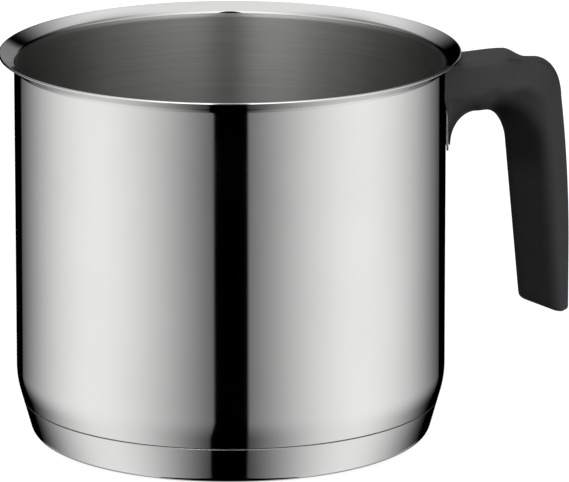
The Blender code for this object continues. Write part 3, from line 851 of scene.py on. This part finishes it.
def box_cutter(name, low, high):
    flat = [(low[0], low[1]), (high[0], low[1]), (high[0], high[1]), (low[0], high[1])]
    return cutter(name, lofted([[(x, y, z) for x, y in flat] for z in (low[2], high[2])]))


def round_cutter(name, x, radius, low, high):
    circle = [(x + px, py) for px, py in arc((0.0, 0.0), radius, 0.0, 360.0, CUTTER_STEPS)[:-1]]
    return cutter(name, lofted([[(px, py, z) for px, py in circle] for z in (low, high)]))


def pot_cutter():
    """The pot's outside with the handle's fit gap, from above the rim down past the handle's root."""
    bend, lip = rim_frame()
    top, low = POT_HEIGHT + CUT_OVERRUN, ROOT_TIP - CUT_OVERRUN
    side = arc(lip, POT_SHEET / 2.0 + SEEN_GAP, 0.0, -RIM_FLARE, CORNER_STEPS)
    side += arc(bend, RIM_BEND - SEEN_GAP, 180.0 - RIM_FLARE, 180.0, CORNER_STEPS)
    reach, stand = RIM_RADIUS + SEEN_GAP, ARCH_HEIGHT + STAND_RISE
    clear = WALL + SEAT_GAP + BRACKET_SHEET + STAND_ROOM
    side += [(WALL + SEEN_GAP, stand), (clear, stand - STAND_SLOPE), (clear, low)]
    return cutter("pot_cutter", turned([(0.0, top), (reach, top)] + side + [(0.0, low)]))


def make_handle(plastic):
    """The moulded hook, cut to the pot and to the fixing inside it. The pot doesn't mirror it."""
    handle = piece("handle_moulding", lofted(handle_rings()), [plastic], HANDLE_SHARP_EDGE)
    pad_low, pad_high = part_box("handle_bracket")
    screw_low, screw_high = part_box("handle_screw")
    nut_low, nut_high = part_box("bracket_nut")
    _, washer_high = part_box("spring_washer")
    screw_x = (nut_low.x + nut_high.x) / 2.0
    # The screw's head is twice as wide as its shank.
    shank = (screw_high.x - screw_low.x) / 4.0
    cutters = [
        pot_cutter(),
        box_cutter(
            "pad_cutter",
            (WALL - CUT_OVERRUN, pad_low.y - PAD_ROOM, pad_low.z - PAD_ROOM),
            (WALL + SEAT_GAP + BRACKET_SHEET + SEEN_GAP, pad_high.y + PAD_ROOM, pad_high.z + PAD_ROOM),
        ),
        round_cutter(
            "well_cutter", screw_x, washer_high.x - screw_x + WELL_ROOM,
            ARCH_HEIGHT - CUT_OVERRUN, washer_high.z + SEAT_GAP,
        ),
        round_cutter("shank_cutter", screw_x, shank + SEAT_GAP, washer_high.z, nut_low.z),
        box_cutter(
            "channel_cutter",
            (WALL, nut_low.y - SOCKET_ROOM, washer_high.z + CUT_OVERRUN),
            (pad_high.x + SOCKET_ROOM, nut_high.y + SOCKET_ROOM, screw_high.z + SOCKET_ROOM),
        ),
    ]
    for tool in cutters:
        step = handle.modifiers.new(tool.name, "BOOLEAN")
        step.object = tool
        step.solver = "EXACT"
    shaped = handle.evaluated_get(bpy.context.evaluated_depsgraph_get())
    mesh = bpy.data.meshes.new_from_object(shaped)
    handle.modifiers.clear()
    handle.data = mesh
    mesh.set_sharp_from_angle(angle=math.radians(HANDLE_SHARP_EDGE))
    for tool in cutters:
        bpy.data.objects.remove(tool, do_unlink=True)
    handle.visible_glossy = False
    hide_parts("handle")
    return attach(handle, "root")


# Studio


def make_floor():
    """A pale matt floor that keeps the pan's shadow, and is nearly white to the camera."""
    made, nodes = material("pale_floor")
    where = nodes.add("TexCoord", None, None, "Object")
    clouds = nodes.noise(where, FLOOR_CLOUDS, detail=2.0, roughness=0.5)
    shaded = nodes.add("BsdfPrincipled", None, {
        "Base Color": nodes.colours(clouds, FLOOR_DARK, FLOOR_PALE),
        "Roughness": 1.0,
        "Specular IOR Level": 0.0,
    })
    lit = nodes.add("Emission", None, {"Strength": FLOOR_GLOW})
    seen = nodes.add("LightPath", None, None, "Is Camera Ray")
    nodes.finish(nodes.add("MixShader", None, {0: seen * FLOOR_GLOW_SHARE, 1: shaded, 2: lit}))
    bm = bmesh.new()
    bmesh.ops.create_circle(bm, cap_ends=True, segments=FLOOR_STEPS, radius=FLOOR_RADIUS)
    floor = piece("studio_floor", bm, [made])
    floor.location.z = -FLOOR_DROP
    floor.visible_glossy = False


def mirroring_face(x, y, z):
    """The face of the pan that mirrors a direction to the photograph's view: its turn and its lean."""
    camera_fall = math.radians(CAMERA_FALL)
    ahead = math.cos(camera_fall) - y
    facing = x.math("ARCTAN2", ahead) * math.degrees(2.0)
    level = (x * x + ahead * ahead).math("SQRT")
    lean = (0.0 - math.sin(camera_fall) - z).math("ARCTAN2", level) * math.degrees(1.0)
    return facing, lean


def camera_gap(facing, lean, low):
    """0 in the dark gap where the camera stands and 1 beside it. The gap widens towards the floor."""
    wider = low * LOW_GAP_SHIFT
    steep = lean.rise(*STEEP_LEAN)
    off_gap = abs(facing - FRONT_GAP_TURN + wider) - wider - steep * STEEP_GAP
    return off_gap.past(FRONT_GAP_HALF, GAP_EDGE)


def side_lights(facing, low, gap, turn, climb):
    """Two tall soft lights at the pan's sides, and the floor's light behind it."""
    swing = abs(facing + SIDE_SHIFT) - SIDE_TURN + low * LOW_TURN
    swing = swing * (low * LOW_SPREAD + SIDE_SPREAD) * math.radians(1.0)
    glow = swing.math("COSINE") * 0.5 + 0.5
    behind = 1.0 - (abs(facing) + low * LOW_BACK_GAP).past(BACK_GAP_START, GAP_EDGE)
    sides = glow * gap * behind * (1.0 - low * LOW_LOSS_SHARE) * SIDE_LIGHT * climb.drop(*HORIZON)
    astern = abs(turn).rise(*ASTERN_TURN) * climb.rise(*ASTERN_START)
    return sides * (1.0 - astern) + astern * climb.drop(*ASTERN_END) * ASTERN_LIGHT


def front_panel(gap, turn, climb):
    """A broad panel above the camera that fades to both sides."""
    fade = abs(turn).math("MINIMUM", 180.0 / PANEL_SPREAD) * (PANEL_SPREAD * math.radians(1.0))
    glow = fade.math("COSINE") * 0.5 + 0.5
    return glow * gap * climb.rise(*HORIZON) * climb.drop(*PANEL_TOP) * PANEL_LIGHT


def panel_strip(turn, climb):
    """A bright strip in the panel, left of the camera."""
    strip = 1.0 - abs(turn - STRIP_TURN).past(STRIP_HALF, GAP_EDGE)
    return strip * climb.rise(*STRIP_FOOT) * climb.drop(*STRIP_TOP) * STRIP_LIGHT


def top_light(turn, climb):
    """Light from above, with the camera's gap cut into it nearly to the top."""
    beside = abs(turn).rise(*BESIDE_START) * abs(turn).drop(*BESIDE_END) * climb.drop(*BESIDE_TOP)
    left = turn.drop(-LEFT_EDGE, LEFT_EDGE)
    foot, full = (angle - left * drop for angle, drop in zip(TOP_FOOT, TOP_LEFT_DROP))
    above = climb.rise(foot, full) * (1.0 - beside * BESIDE_LOSS_SHARE) * TOP_LIGHT
    gap = (1.0 - abs(turn).past(FRONT_GAP_HALF, GAP_EDGE)) * climb.drop(*TOP_GAP_END)
    crown = abs(turn).drop(*CROWN_TURN) * climb.rise(*CROWN_CLIMB) * CROWN_GAIN_SHARE
    return above * (1.0 - gap) * (1.0 + crown)


def corner_light(turn, climb):
    """A weak light on the horizon behind the pan."""
    corner_glow = 1.0 - abs(turn - CORNER_TURN).past(CORNER_HALF, CORNER_EDGE)
    return corner_glow * climb.rise(*CORNER_FOOT) * climb.drop(*CORNER_TOP) * CORNER_LIGHT


def fill_light(turn, climb):
    """A low fill at the camera."""
    return abs(turn).drop(*FILL_TURN) * climb.rise(*FILL_FOOT) * climb.drop(*FILL_TOP) * FILL_LIGHT


def make_studio_light():
    """A world of soft lights round the pan. The camera itself sees plain white."""
    world = bpy.data.worlds.new("studio")
    bpy.context.scene.world = world
    world.use_nodes = True
    nodes = Nodes(world.node_tree)
    x, y, z = nodes.parts(nodes.add("TexCoord", None, None, "Generated"))
    turn = x.math("ARCTAN2", 0.0 - y) * math.degrees(1.0)
    climb = z.math("ARCSINE") * math.degrees(1.0)
    facing, lean = mirroring_face(x, y, z)
    low = lean.rise(*LOW_LEAN)
    gap = camera_gap(facing, lean, low)
    sides = side_lights(facing, low, gap, turn, climb)
    front = front_panel(gap, turn, climb) + panel_strip(turn, climb)
    studio = sides + front + top_light(turn, climb) + corner_light(turn, climb) + fill_light(turn, climb)
    seen = nodes.add("LightPath", None, None, "Is Camera Ray")
    background = nodes.add("Background", None, {"Strength": seen + studio * (1.0 - seen)})
    nodes.add("OutputWorld", None, {"Surface": background})


def make_camera():
    """The photograph's view: a long lens that looks down at the middle of the pan's box."""
    data = bpy.data.cameras.new("camera")
    data.sensor_fit = "HORIZONTAL"
    data.sensor_width = SENSOR_MM
    data.lens = LENS_MM
    data.clip_end = CAMERA_FAR_LIMIT
    camera = bpy.data.objects.new("camera", data)
    fall = math.radians(CAMERA_FALL)
    place = Vector((0.0, -CAMERA_DISTANCE * math.cos(fall), CAMERA_DISTANCE * math.sin(fall)))
    camera.location = place + Vector((0.0, 0.0, CAMERA_TARGET_HEIGHT))
    middle = (CAD_BOX[0] + CAD_BOX[1]) / 2.0
    aim = Vector((middle.x, 0.0, middle.z))
    camera.rotation_euler = (aim - camera.location).to_track_quat("-Z", "Y").to_euler()
    bpy.context.scene.collection.objects.link(camera)
    bpy.context.scene.camera = camera


def dress(node, finish):
    """Gives a piece of the frame its finish."""
    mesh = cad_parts[node].data
    mesh.materials.clear()
    mesh.materials.append(finish)


make_camera()
make_floor()
make_studio_light()
bpy.context.scene.view_settings.view_transform = "Standard"

steel = polished_steel()
fastener = plain_steel()
satin = satin_steel()
make_pot(steel, satin)
make_cap(steel, satin)
make_handle(black_plastic())
dress("base_core", core_aluminium())
for node in ("handle_bracket", "bracket_nut", "handle_screw", "spring_washer"):
    dress(node, fastener)
    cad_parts[node].visible_glossy = False
